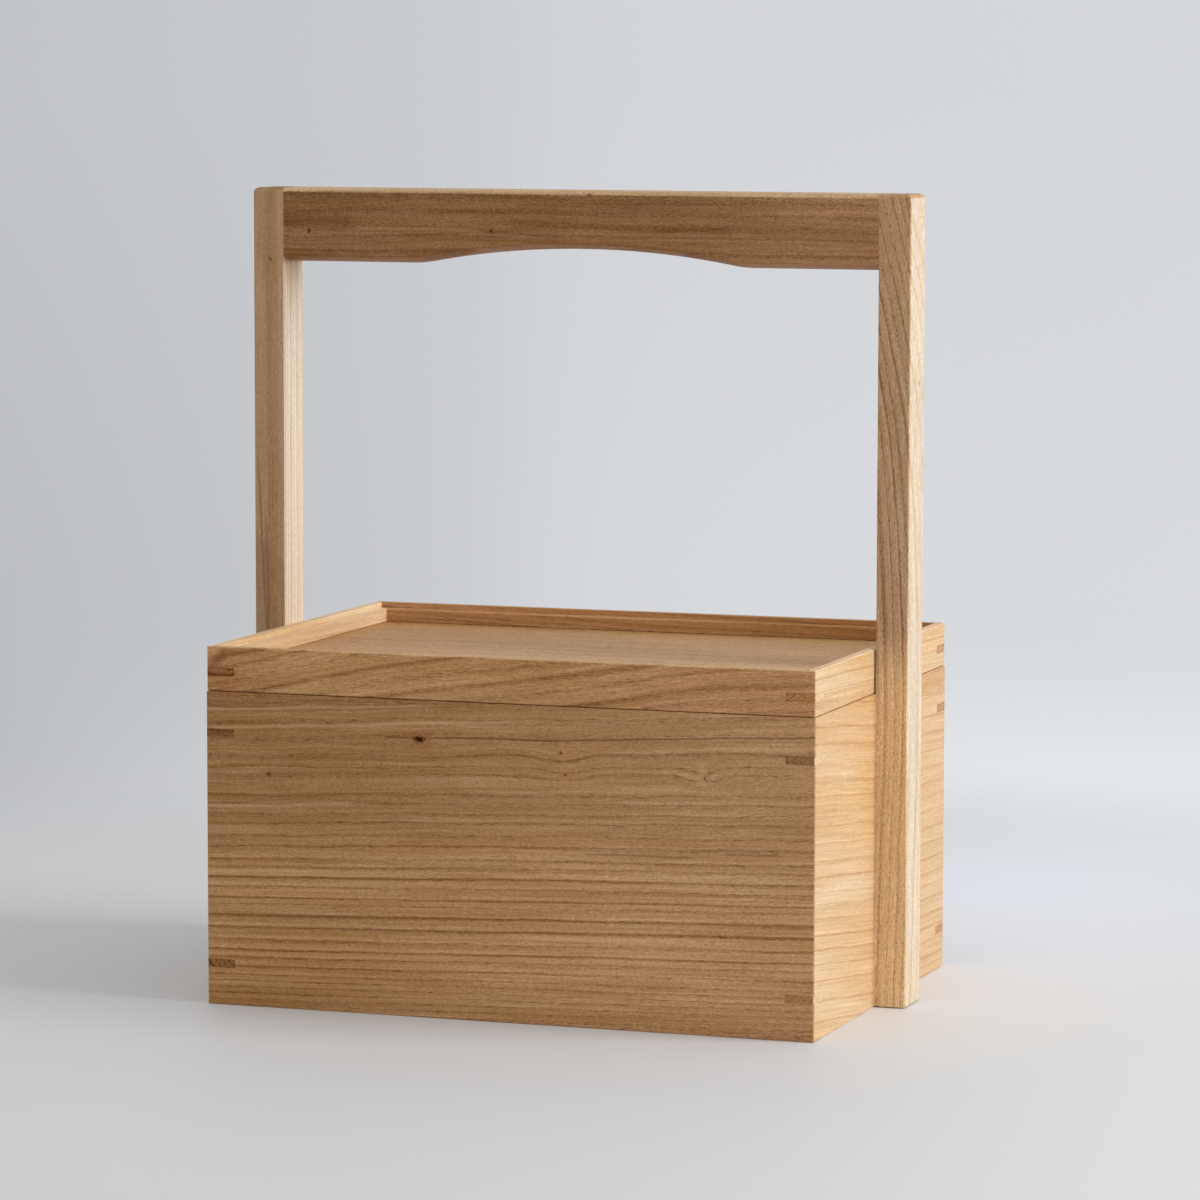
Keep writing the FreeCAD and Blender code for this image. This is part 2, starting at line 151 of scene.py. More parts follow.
makeCamera()
scene.view_settings.view_transform = "Standard"
print("camera placed")


# Studio: a window's soft light from the right, pale surroundings and a paper floor

studio = {
    "windowSide": 1,            # degrees behind the box's right-hand side
    "windowHeight": 25,         # degrees above the floor
    "windowDistance": 2.2,      # metres
    "windowSize": (1.0, 1.1),
    "windowPower": 34.8,
    "windowColour": "#fefeff",
    "roomColour": "#fcfdff",
    "roomStrength": 0.66,
    "backdropDark": "#bbbdc2",
    "backdropPale": "#dadcdf",
    # how pale it is from left to right, as the sine of the angle from straight ahead
    "backdropTop": [(-0.11, 0.22), (-0.03, 0.46), (0.005, 0.72), (0.11, 0.82)],
    "backdropFoot": [(-0.11, 0.04), (-0.03, 0.45), (0.005, 0.84), (0.11, 0.96)],
    "backdropWidth": (-0.11, 0.085),
    # heights are the sine of the angle above the horizon
    "backdropFall": (-0.01, -0.1),      # its top turns into its foot
    "backdropRim": (-0.13, -0.19),      # its foot turns into the colours at the floor's rim
    "lowLeft": "#c4c5c7",
    "lowRight": "#dddfe0",
    "glow": "#e6e9ec",          # a painted glow: the window's light on the sweep, at the right
    "glowHeight": -0.142,
    "glowReach": 0.032,
    "floorColour": "#dadbdb",
    "floorRough": 0.6,
    "toothScale": 900.0,        # the paper's tooth, drawn coarse: about a millimetre
    "toothStrength": 0.1,
    "toothDepth": 0.0002,       # metres
    "paintedPoolColour": "#e9ecf2",    # a painted pool of the window's light on the paper behind the box, at the right
    "paintedPoolPlace": (0.1, 0.3),    # metres
    "paintedPoolReach": (0.28, 0.55),
    "floorFlat": 0.45,          # metres from the middle to where the floor starts to fade
    "floorEnd": 0.85,
}


def makeWindow():
    data = bpy.data.lights.new("window", "AREA")
    data.shape = "RECTANGLE"
    data.size, data.size_y = studio["windowSize"]
    data.energy = studio["windowPower"]
    data.color = linear(studio["windowColour"])[:3]
    side = math.radians(studio["windowSide"])
    height = math.radians(studio["windowHeight"])
    away = Vector((math.cos(side) * math.cos(height), math.sin(side) * math.cos(height), math.sin(height)))
    lamp = bpy.data.objects.new("window", data)
    lamp.location = away * studio["windowDistance"]
    lamp.rotation_mode = "QUATERNION"
    lamp.rotation_quaternion = away.to_track_quat("Z", "Y")
    lamp.visible_glossy = False     # its mirror image would bleach boards seen against the light
    scene.collection.objects.link(lamp)


def makeRoom():
    # even light for the object; the camera and reflections see the pale backdrop
    world = bpy.data.worlds.new("room")
    world.use_nodes = True
    tree = world.node_tree
    tree.nodes.clear()
    yaw = math.radians(cameraSet["yaw"])
    right = Vector((math.cos(yaw), math.sin(yaw), 0))
    direction = addNode(tree, "TexCoord", out="Generated")
    sideways = addNode(tree, "VectorMath", {0: direction, 1: right}, out="Value", operation="DOT_PRODUCT")
    share = addNode(tree, "MapRange", between(sideways, *studio["backdropWidth"]))
    height = addNode(tree, "SeparateXYZ", {0: direction}, out="Z")
    low = addNode(tree, "MapRange", between(height, *studio["backdropRim"]))
    fall = addNode(tree, "MapRange", between(height, *studio["backdropFall"]))
    pale = addNode(tree, "Mix", {
        "Factor": fall,
        "A": follow(tree, sideways, studio["backdropTop"]),
        "B": follow(tree, sideways, studio["backdropFoot"]),
    })
    high = layered(tree, linear(studio["backdropDark"]), [(pale, studio["backdropPale"])])
    foot = layered(tree, linear(studio["lowLeft"]), [(share, studio["lowRight"])])
    # a painted glow of the window's light on the sweep
    glow = between(apart(tree, height, studio["glowHeight"]), 0, studio["glowReach"], 1, 0)
    glow = addNode(tree, "MapRange", glow, **eased)
    glow = addNode(tree, "Math", {0: glow, 1: share}, operation="MULTIPLY")
    backdrop = layered(tree, high, [(low, foot), (glow, studio["glow"])])
    seen = addNode(tree, "Background", {"Color": backdrop, "Strength": 1.0})
    lit = {"Color": linear(studio["roomColour"]), "Strength": studio["roomStrength"]}
    lit = addNode(tree, "Background", lit)
    rays = addNode(tree, "LightPath", out="Is Camera Ray").node.outputs
    direct = addNode(tree, "Math", {0: rays["Is Camera Ray"], 1: rays["Is Glossy Ray"]}, operation="MAXIMUM")
    direct = addNode(tree, "Math", {0: direct, 1: rays["Is Transmission Ray"]}, operation="MAXIMUM")
    both = addNode(tree, "MixShader", {0: direct, 1: lit, 2: seen})
    addNode(tree, "OutputWorld", {"Surface": both})
    scene.world = world


def makeFloor():
    mesh = bpy.data.meshes.new("floor")
    disc = bmesh.new()
    bmesh.ops.create_circle(disc, cap_ends=True, segments=96, radius=studio["floorEnd"])
    disc.to_mesh(mesh)
    disc.free()
    floor = bpy.data.objects.new("floor", mesh)
    scene.collection.objects.link(floor)
    # white seamless paper: matt, and it fades into the backdrop round its edge
    material = newMaterial("seamlessPaper")
    tree = material.node_tree
    place = addNode(tree, "TexCoord", out="Object")
    tooth = {"Vector": place, "Scale": studio["toothScale"], "Detail": 2.0}
    tooth = addNode(tree, "TexNoise", tooth, out="Fac")
    bump = {"Height": tooth, "Strength": studio["toothStrength"], "Distance": studio["toothDepth"]}
    bump = addNode(tree, "Bump", bump, out="Normal")
    # painted light: a pool of the window's light laid into the paper's colour
    pool = spot(tree, place, Vector((*studio["paintedPoolPlace"], 0)), studio["paintedPoolReach"])[1]
    pool = addNode(tree, "MapRange", between(pool, 0, 1, 1, 0), **eased)
    colour = layered(tree, linear(studio["floorColour"]), [(pool, studio["paintedPoolColour"])])
    paper = {"Base Color": colour, "Roughness": studio["floorRough"], "Normal": bump}
    paper = addNode(tree, "BsdfPrincipled", paper)
    distance = addNode(tree, "VectorMath", {0: place}, out="Value", operation="LENGTH")
    fade = between(distance, studio["floorFlat"], studio["floorEnd"])
    fade = addNode(tree, "MapRange", fade, **eased)
    nothing = addNode(tree, "BsdfTransparent")
    both = addNode(tree, "MixShader", {0: fade, 1: paper, 2: nothing})
    addNode(tree, "OutputMaterial", {"Surface": both})
    mesh.materials.append(material)


makeWindow()
makeRoom()
makeFloor()
print("studio lit")


# Wood. A board is cut from a trunk whose yearly rings lie about its pith, so its faces, edges and
# ends all show the same rings. Lengths are in millimetres, angles in degrees.

chestnut = {
    "along": (1, 0, 0),         # the way the grain runs
    "across": (0, 0, 1),        # across the face that shows most
    "middle": (0, 0, 0),        # middle of that face
    "slope": 0,                 # how steeply the grain climbs across the face
    "bow": [],                  # (along, across): how the yearly lines curve down the length
    "fibreBow": 1.0,            # how far the fibres follow them
    "fan": 0,                   # how much more they climb with each mm across
    "bends": [((170, 60, 60), 3.0), ((34, 9, 9), 0.7)],     # size of each random bend, and its reach
    "calm": [],                 # (across, share of the small bends)
    "pith": (170, -75),         # from the middle: across the face, and out of it
    "ring": 4.4,                # one year's growth
    "uneven": 0.9,              # how far a year may stray, in years
    "runs": 0.6,                # how fast good and bad years follow each other
    "faintest": 0.3,            # a faint year's line, as a share of a bold one's
    "fading": ((60, 3, 3), 0.6),        # a line fades here and there, at most to this share
    "lines": [],                # (across, strength): where each year's dark line lies, if not at random
    "seed": 0,
    "pale": "#c59969",
    "warm": "#bb8b59",
    "olive": "#b48757",
    "line": "#7c4716",
    "pore": "#673810",
    "patch": (130, 14, 14),     # size of a patch of one colour
    "saturation": 1.03,
    "richness": 0.35,           # how much more colour the darker streaks have
    "lineDepth": 0.93,
    "lineEdge": 0.19,           # shares of a year: the line's near edge, its dark core, its soft tail
    "lineCore": 0.22,
    "lineTail": 0.48,
    "coreShare": 0.52,          # how much of the line's darkness is in its core
    "paleLift": 0.1,            # how much the wood lightens just before a line
    # streaks that keep to the yearly lines, and fibres that keep to the board
    "bands": [((150, 3.2, 3.2), 0.1), ((80, 1.6, 1.6), 0.13)],
    "fibres": [((40, 0.55, 0.55), 0.09), ((1.5, 0.45, 0.45), 0.2)],
    "poreSize": (5, 0.5, 0.5),  # real pores are finer: drawn as coarse as they need to show
    "poreDepth": 0.5,
    "loosePores": 0.2,          # pores away from the dark lines, as a share
    "fleckDepth": 0.0,          # light flecks
    "fleckSize": (10, 0.7, 0.7),
    "fleckColour": "#d6b48e",
    "endDepth": 0.55,           # how dark the end grain is
    "smooth": 0.5,              # roughness of the wood, and in its pores
    "rough": 0.65,
    "knots": [],
    "knotHeart": "#421801",
    "knotRim": "#95562b",
    "strokes": [],
    "strokeDepth": 2.2,         # how far they go into the board
    "strokeColour": "#5c3208",
    "tints": [],
    "seams": [],
    "seamColour": "#2f1c10",
}
# Rubbed-in oil: a low satin shine over open pores
finish = {
    "refraction": 1.47,
    "shine": 0.3,
    "dull": (0.03, 0.18),       # dark, open wood shines less: from no shine to all of it, by lightness
    "reliefStrength": 0.35,
    "reliefDepth": 0.00015,     # metres
    "grainRise": 0.3,           # how much of the surface's height comes from each
    "poreRise": -1.0,
    "lineRise": -0.5,
}
# Each pattern's own seed and detail, and the part of the noise that draws it: noise runs from 0 to 1
# and keeps near its middle
patterns = {
    "fading": (5, 1.0, 0.3, 0.6),
    "patch": (9, 2.0, 0.35, 0.65),
    "broad": (11, 2.0, 0.45, 0.7),
    "grain": (13, 2.0, 0.3, 0.7),
    "pore": (17, 1.0, 0.56, 0.66),
    "fleck": (19, 1.0, 0.6, 0.72),
}
noiseMiddle = (0.5, 0.5, 0.5)
noiseShift = (7.31, 3.17, 5.73)         # from one seed to the next
lineStart = 0.5                 # where in a year its dark line begins
lateWood = (0.1, 0.42)          # the part of a year in which its wood turns paler
poreCrowd = 0.7                 # pores are at their thickest where a line is this dark
strokeTaper = 0.12              # a stroke fades out over this share of its length at each end
seamCore = 0.3                  # the share of a seam's width that is evenly dark
endGrain = (0.55, 0.95)         # how squarely the fibres must meet a face for it to count as an end


def streaks(tree, place, lengths, seed, detail, out):
    # noise whose blotches have these lengths
    scale = [1 / length for length in lengths]
    shift = [seed * step for step in noiseShift]
    stretched = addNode(tree, "Mapping", {"Vector": place, "Location": shift, "Scale": scale})
    return addNode(tree, "TexNoise", {"Vector": stretched, "Scale": 1.0, "Detail": detail}, out=out)


def pattern(tree, board, place, name, lengths, low=0.0, high=1.0):
    # streaks, where the noise is strong enough to draw them
    step, detail, start, end = patterns[name]
    noise = streaks(tree, place, lengths, board["seed"] + step, detail, "Fac")
    return addNode(tree, "MapRange", between(noise, start, end, low, high))


def boardAxes(board):
    along, across = Vector(board["along"]).normalized(), Vector(board["across"]).normalized()
    climb = math.radians(board["slope"])
    grain = along * math.cos(climb) + across * math.sin(climb)
    cross = across * math.cos(climb) - along * math.sin(climb)
    return Matrix((grain, cross, grain.cross(cross)))


def onBoard(board, axes, point):
    return axes @ (Vector(point) - Vector(board["middle"]))


def bendFibres(tree, board, parts, local):
    # the curve down the length, slow bends of the trunk, and the small wander of the fibres
    bent = local
    if board["bow"] and board["fibreBow"]:
        rise = follow(tree, parts["X"], board["bow"])
        rise = addNode(tree, "Math", {0: rise, 1: -board["fibreBow"]}, operation="MULTIPLY")
        rise = addNode(tree, "CombineXYZ", {"Y": rise})
        bent = addNode(tree, "VectorMath", {0: bent, 1: rise}, operation="ADD")
    for number, (lengths, reach) in enumerate(board["bends"]):
        bend = streaks(tree, local, lengths, board["seed"] + number, 1.0, "Color")
        bend = addNode(tree, "VectorMath", {0: bend, 1: noiseMiddle}, operation="SUBTRACT")
        bend = addNode(tree, "VectorMath", {0: bend, 1: (0, 2 * reach, 2 * reach)}, operation="MULTIPLY")
        if board["calm"] and number > 0:
            share = follow(tree, parts["Y"], board["calm"])
            bend = addNode(tree, "VectorMath", {0: bend, "Scale": share}, operation="SCALE")
        bent = addNode(tree, "VectorMath", {0: bent, 1: bend}, operation="ADD")
    return bent


def bendYears(tree, board, parts, bent):
    # where the yearly lines part from the fibres
    grown = bent
    if board["bow"] and board["fibreBow"] < 1:
        rise = follow(tree, parts["X"], board["bow"])
        rise = addNode(tree, "Math", {0: rise, 1: board["fibreBow"] - 1}, operation="MULTIPLY")
        rise = addNode(tree, "CombineXYZ", {"Y": rise})
        grown = addNode(tree, "VectorMath", {0: grown, 1: rise}, operation="ADD")
    if board["fan"]:
        spread = addNode(tree, "Math", {0: parts["X"], 1: parts["Y"]}, operation="MULTIPLY")
        spread = addNode(tree, "Math", {0: spread, 1: -board["fan"]}, operation="MULTIPLY")
        spread = addNode(tree, "CombineXYZ", {"Y": spread})
        grown = addNode(tree, "VectorMath", {0: grown, 1: spread}, operation="ADD")
    return grown


knotSize = {
    "heart": (1.2, 0.9),        # along and across the board, and how deep if it doesn't go through
    "spread": (18, 5),          # how far the yearly lines give way to it
    "pull": 0.7,                # how much they part round it
    "dip": 0,                   # how far they sink at it
    "reach": 1.6,               # where they are straight again, in spreads
    "dark": 0.7,
    "heartEdge": (0.3, 1.15),   # where the heart and the rim fade out, in hearts
    "rimEdge": (0.8, 2.6),
    "rimShare": 0.4,            # how dark the rim is beside the heart
}
raggedEdge = {"size": (1.5, 0.8, 0.8), "reach": (3.2, 2.4, 0), "seed": 4}       # bites round a heart


def addKnots(tree, board, axes, local, grown):
    # the yearly lines give way round each knot, which has a dark heart and a reddish rim
    edge = streaks(tree, local, raggedEdge["size"], raggedEdge["seed"], 1.0, "Color")
    edge = addNode(tree, "VectorMath", {0: edge, 1: noiseMiddle}, operation="SUBTRACT")
    edge = addNode(tree, "VectorMath", {0: edge, 1: raggedEdge["reach"], 2: local}, operation="MULTIPLY_ADD")
    hearts, rims = 0.0, 0.0
    for changes in board["knots"]:
        knot = {**knotSize, **changes}
        centre = onBoard(board, axes, knot["at"])
        near, distance = spot(tree, local, centre, knot["spread"])
        reach = between(distance, 0, knot["reach"], 1, 0)
        reach = addNode(tree, "MapRange", reach, **eased)
        shift = {0: near, 1: (0, -knot["spread"][1] * knot["pull"], 0), 2: (0, knot["dip"], 0)}
        shift = addNode(tree, "VectorMath", shift, operation="MULTIPLY_ADD")
        shift = addNode(tree, "VectorMath", {0: shift, "Scale": reach}, operation="SCALE")
        grown = addNode(tree, "VectorMath", {0: grown, 1: shift}, operation="ADD")
        depth = spot(tree, edge, centre, knot["heart"])[1]
        heart = between(depth, *knot["heartEdge"], knot["dark"], 0)
        heart = addNode(tree, "MapRange", heart, **eased)
        rim = between(depth, *knot["rimEdge"], knot["dark"] * knot["rimShare"], 0)
        rim = addNode(tree, "MapRange", rim, **eased)
        hearts = addNode(tree, "Math", {0: hearts, 1: heart}, operation="MAXIMUM")
        rims = addNode(tree, "Math", {0: rims, 1: rim}, operation="MAXIMUM")
    return grown, hearts, rims


def countYears(tree, board, grown):
    # years, counted out from the pith, and how bold each year's line is
    pith = (0, board["pith"][0], board["pith"][1])
    fromPith = addNode(tree, "VectorMath", {0: grown, 1: pith}, operation="SUBTRACT")
    fromPith = addNode(tree, "VectorMath", {0: fromPith, 1: (0, 1, 1)}, operation="MULTIPLY")
    radius = addNode(tree, "VectorMath", {0: fromPith}, out="Value", operation="LENGTH")
    if board["lines"]:
        rings = [(math.hypot(across - pith[1], pith[2]), strength) for across, strength in board["lines"]]
        rings.sort()
        years = follow(tree, radius, [(ring[0], count + 0.5) for count, ring in enumerate(rings)])
        return years, follow(tree, radius, rings)
    years = addNode(tree, "Math", {0: radius, 1: board["ring"]}, operation="DIVIDE")
    seasons = {"W": years, "Scale": board["runs"], "Detail": 2.0}
    seasons = addNode(tree, "TexNoise", seasons, out="Fac", noise_dimensions="1D")
    years = addNode(tree, "Math", {0: seasons, 1: 2 * board["uneven"], 2: years}, operation="MULTIPLY_ADD")
    year = addNode(tree, "Math", {0: years}, operation="FLOOR")
    boldness = addNode(tree, "TexWhiteNoise", {"W": year}, out="Value", noise_dimensions="1D")
    return years, addNode(tree, "MapRange", between(boldness, 0, 1, board["faintest"]))


def springWood(tree, board, years):
    # each year starts as a dark porous line that thins out, and ends a little paler
    share = addNode(tree, "Math", {0: years}, operation="FRACT")
    edge = (lineStart - board["lineEdge"], lineStart)
    rise = addNode(tree, "MapRange", between(share, *edge), **eased)
    core = between(share, lineStart, lineStart + board["lineCore"], board["coreShare"], 0)
    core = addNode(tree, "MapRange", core, **eased)
    tail = between(share, lineStart, lineStart + board["lineTail"], 1 - board["coreShare"], 0)
    tail = addNode(tree, "MapRange", tail, **eased)
    spring = addNode(tree, "Math", {0: core, 1: tail}, operation="ADD")
    spring = addNode(tree, "Math", {0: spring, 1: rise}, operation="MULTIPLY")
    late = addNode(tree, "MapRange", between(share, *lateWood))
    done = addNode(tree, "MapRange", between(share, *edge, 1, 0))
    return spring, addNode(tree, "Math", {0: late, 1: done}, operation="MULTIPLY")


def addTints(tree, board, place, tones):
    # a change of colour from one place to another; some are the wood's own, some are painted light or shade,
    # such as the pale cream on a post's side towards the window
    for tint in board["tints"]:
        start = Vector(tint["from"]) / toMm
        run = Vector(tint["to"]) / toMm - start
        offset = addNode(tree, "VectorMath", {0: place, 1: start}, operation="SUBTRACT")
        share = between(shareAlong(tree, offset, run), 0, 1, 0, tint["share"])
        share = addNode(tree, "MapRange", share, **eased)
        for name in ("wood", "line", "pore"):
            if name in tint:
                tones[name] = layered(tree, tones[name], [(share, tint[name])])


def strokeLayers(tree, board, axes, parts, bent):
    # single lines that stand out from the rest
    layers, depth = [], board["strokeDepth"]
    for stroke in board["strokes"]:
        start, end = (onBoard(board, axes, stroke[name]) for name in ("from", "to"))
        run = Vector((end.x - start.x, end.y - start.y, 0))
        aside = Vector((-run.y, run.x, 0)).normalized()
        offset = addNode(tree, "VectorMath", {0: bent, 1: (start.x, start.y, 0)}, operation="SUBTRACT")
        ends = apart(tree, shareAlong(tree, offset, run), 0.5)
        ends = addNode(tree, "MapRange", between(ends, 0.5, 0.5 - strokeTaper))
        beside = addNode(tree, "VectorMath", {0: offset, 1: aside}, out="Value", operation="DOT_PRODUCT")
        beside = addNode(tree, "Math", {0: beside}, operation="ABSOLUTE")
        line = between(beside, 0, stroke["width"], stroke["share"], 0)
        line = addNode(tree, "MapRange", line, **eased)
        line = addNode(tree, "Math", {0: line, 1: ends}, operation="MULTIPLY")
        sunk = apart(tree, parts["Z"], start.z)
        shown = addNode(tree, "MapRange", between(sunk, depth, depth / 2))
        line = addNode(tree, "Math", {0: line, 1: shown}, operation="MULTIPLY")
        layers.append((line, stroke.get("colour", board["strokeColour"])))
    return layers


def seamShade(tree, board, place):
    # a hair of painted shade where this board meets the next
    shade = 0.0
    for point, normal, width, share in board["seams"]:
        away = Vector(normal).normalized()
        reach = addNode(tree, "VectorMath", {0: place, 1: away * toMm}, out="Value", operation="DOT_PRODUCT")
        reach = apart(tree, reach, away.dot(Vector(point)))
        line = addNode(tree, "MapRange", between(reach, width * seamCore, width, share, 0))
        shade = addNode(tree, "Math", {0: shade, 1: line}, operation="MAXIMUM")
    return shade


def makeWood(name, changes):
    board = {**chestnut, **changes}
    material = newMaterial(name)
    tree = material.node_tree
    axes = boardAxes(board)
    place = addNode(tree, "TexCoord", out="Object")
    local = addNode(tree, "Mapping", {
        "Vector": place,
        "Location": -(axes @ Vector(board["middle"])),
        "Rotation": axes.to_euler(),
        "Scale": (toMm, toMm, toMm),
    })
    parts = addNode(tree, "SeparateXYZ", {0: local}, out="X").node.outputs
    bent = bendFibres(tree, board, parts, local)
    grown, hearts, rims = bendYears(tree, board, parts, bent), 0.0, 0.0
    if board["knots"]:
        grown, hearts, rims = addKnots(tree, board, axes, local, grown)
    years, boldness = countYears(tree, board, grown)
    spring, late = springWood(tree, board, years)
    fading = pattern(tree, board, local, "fading", *board["fading"])
    line = addNode(tree, "Math", {0: spring, 1: boldness}, operation="MULTIPLY")
    line = addNode(tree, "Math", {0: line, 1: fading}, operation="MULTIPLY")

    # colours: broad patches, tints, then the yearly lines over them
    patch = pattern(tree, board, bent, "patch", board["patch"])
    broad = pattern(tree, board, bent, "broad", [2 * length for length in board["patch"]])
    tones = {
        "wood": layered(tree, linear(board["pale"]), [(patch, board["warm"]), (broad, board["olive"])]),
        "line": linear(board["line"]),
        "pore": linear(board["pore"]),
    }
    addTints(tree, board, place, tones)
    depth = addNode(tree, "Math", {0: line, 1: board["lineDepth"]}, operation="MULTIPLY")
    tone = layered(tree, tones["wood"], [(depth, tones["line"])])

    # light and dark: streaks, fibres, and the pale end of each year
    sheen, height = 1.0, 0.0
    layers = [(grown, *band) for band in board["bands"]] + [(bent, *fibre) for fibre in board["fibres"]]
    step, detail, start, end = patterns["grain"]
    for number, (source, lengths, depth) in enumerate(layers):
        grain = streaks(tree, source, lengths, board["seed"] + step + 2 * number, detail, "Fac")
        height = {0: grain, 1: finish["grainRise"], 2: height}
        height = addNode(tree, "Math", height, operation="MULTIPLY_ADD")
        grain = addNode(tree, "MapRange", between(grain, start, end, 1 - depth, 1 + depth))
        sheen = addNode(tree, "Math", {0: sheen, 1: grain}, operation="MULTIPLY")
    late = addNode(tree, "Math", {0: late, 1: boldness}, operation="MULTIPLY")
    late = addNode(tree, "Math", {0: late, 1: board["paleLift"], 2: 1.0}, operation="MULTIPLY_ADD")
    sheen = addNode(tree, "Math", {0: sheen, 1: late}, operation="MULTIPLY")
    rich = {0: sheen, 1: -board["richness"], 2: board["saturation"] + board["richness"]}
    rich = addNode(tree, "Math", rich, operation="MULTIPLY_ADD")
    tone = addNode(tree, "HueSaturation", {"Saturation": rich, "Value": sheen, "Color": tone})

    # pores crowd in the dark lines
    pore = pattern(tree, board, bent, "pore", board["poreSize"])
    crowd = addNode(tree, "MapRange", between(spring, 0, poreCrowd, board["loosePores"]))
    pore = addNode(tree, "Math", {0: pore, 1: crowd}, operation="MULTIPLY")
    depth = addNode(tree, "Math", {0: pore, 1: board["poreDepth"]}, operation="MULTIPLY")
    tone = layered(tree, tone, [(depth, tones["pore"])])
    if board["fleckDepth"]:
        fleck = pattern(tree, board, bent, "fleck", board["fleckSize"], 0.0, board["fleckDepth"])
        tone = layered(tree, tone, [(fleck, board["fleckColour"])])
    tone = layered(tree, tone, strokeLayers(tree, board, axes, parts, bent))
    if board["knots"]:
        tone = layered(tree, tone, [(rims, board["knotRim"]), (hearts, board["knotHeart"])])

    # end grain is darker
    end = addNode(tree, "NewGeometry", out="Normal")
    end = addNode(tree, "VectorMath", {0: end, 1: axes[0]}, out="Value", operation="DOT_PRODUCT")
    end = addNode(tree, "Math", {0: end}, operation="ABSOLUTE")
    end = addNode(tree, "MapRange", between(end, *endGrain, 0, board["endDepth"]))
    tone = layered(tree, tone, [(end, board["line"])])
    if board["seams"]:
        tone = layered(tree, tone, [(seamShade(tree, board, place), board["seamColour"])])

    # relief: pores and spring wood lie a little lower than the hard summer wood
    for part, rise in ((pore, finish["poreRise"]), (line, finish["lineRise"])):
        height = addNode(tree, "Math", {0: part, 1: rise, 2: height}, operation="MULTIPLY_ADD")
    bump = {"Height": height, "Strength": finish["reliefStrength"], "Distance": finish["reliefDepth"]}
    bump = addNode(tree, "Bump", bump, out="Normal")
    roughness = addNode(tree, "MapRange", between(pore, 0, 1, board["smooth"], board["rough"]))
    shine = addNode(tree, "RGBToBW", {0: tone})
    shine = addNode(tree, "MapRange", between(shine, *finish["dull"], 0, finish["shine"]))
    oiled = addNode(tree, "BsdfPrincipled", {
        "Base Color": tone, "Roughness": roughness, "Normal": bump,
        "IOR": finish["refraction"], "Specular IOR Level": shine,
    })
    addNode(tree, "OutputMaterial", {"Surface": oiled})
    return material


def dress(node, material):
    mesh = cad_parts[node].data
    mesh.materials.clear()
    mesh.materials.append(material)


def outside(node, side):
    # middle of the outer face of a board on one side of the box, with its grain and its height
    low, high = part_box(node)
    normal = Vector(facing[side])
    reach = [abs(part) for part in normal]
    point = middleOf(node) + normal * ((high - low) / 2 * toMm).dot(Vector(reach))
    up = Vector((0, 0, 1))
    return {"along": up.cross(normal), "across": up, "middle": point}


# End boards: a pale, fine piece of chestnut with thin honey-coloured lines

endBoard = {
    "saturation": 0.99,
    "pale": "#d6bb97",
    "warm": "#cba679",
    "olive": "#cfaa79",
    "line": "#ab6a28",
    "pore": "#9a6a38",
    "bends": [((170, 60, 60), 2.0), ((32, 8, 8), 0.6)],
    "bands": [((120, 3, 3), 0.05), ((90, 0.9, 0.9), 0.09)],
    "fibres": [((40, 0.5, 0.5), 0.07), ((6, 0.4, 0.4), 0.09)],
    "lineEdge": 0.09,
    "lineCore": 0.13,
    "lineTail": 0.3,
    "lineDepth": 0.66,
    "coreShare": 0.68,
    "paleLift": 0.06,
    "poreDepth": 0.2,
}

# Walls of the box: oiled chestnut, planed and satin. On the front, fine brown lines run along the
# board and crowd towards its foot, and the upper ones dip round one dark knot and four small ones.

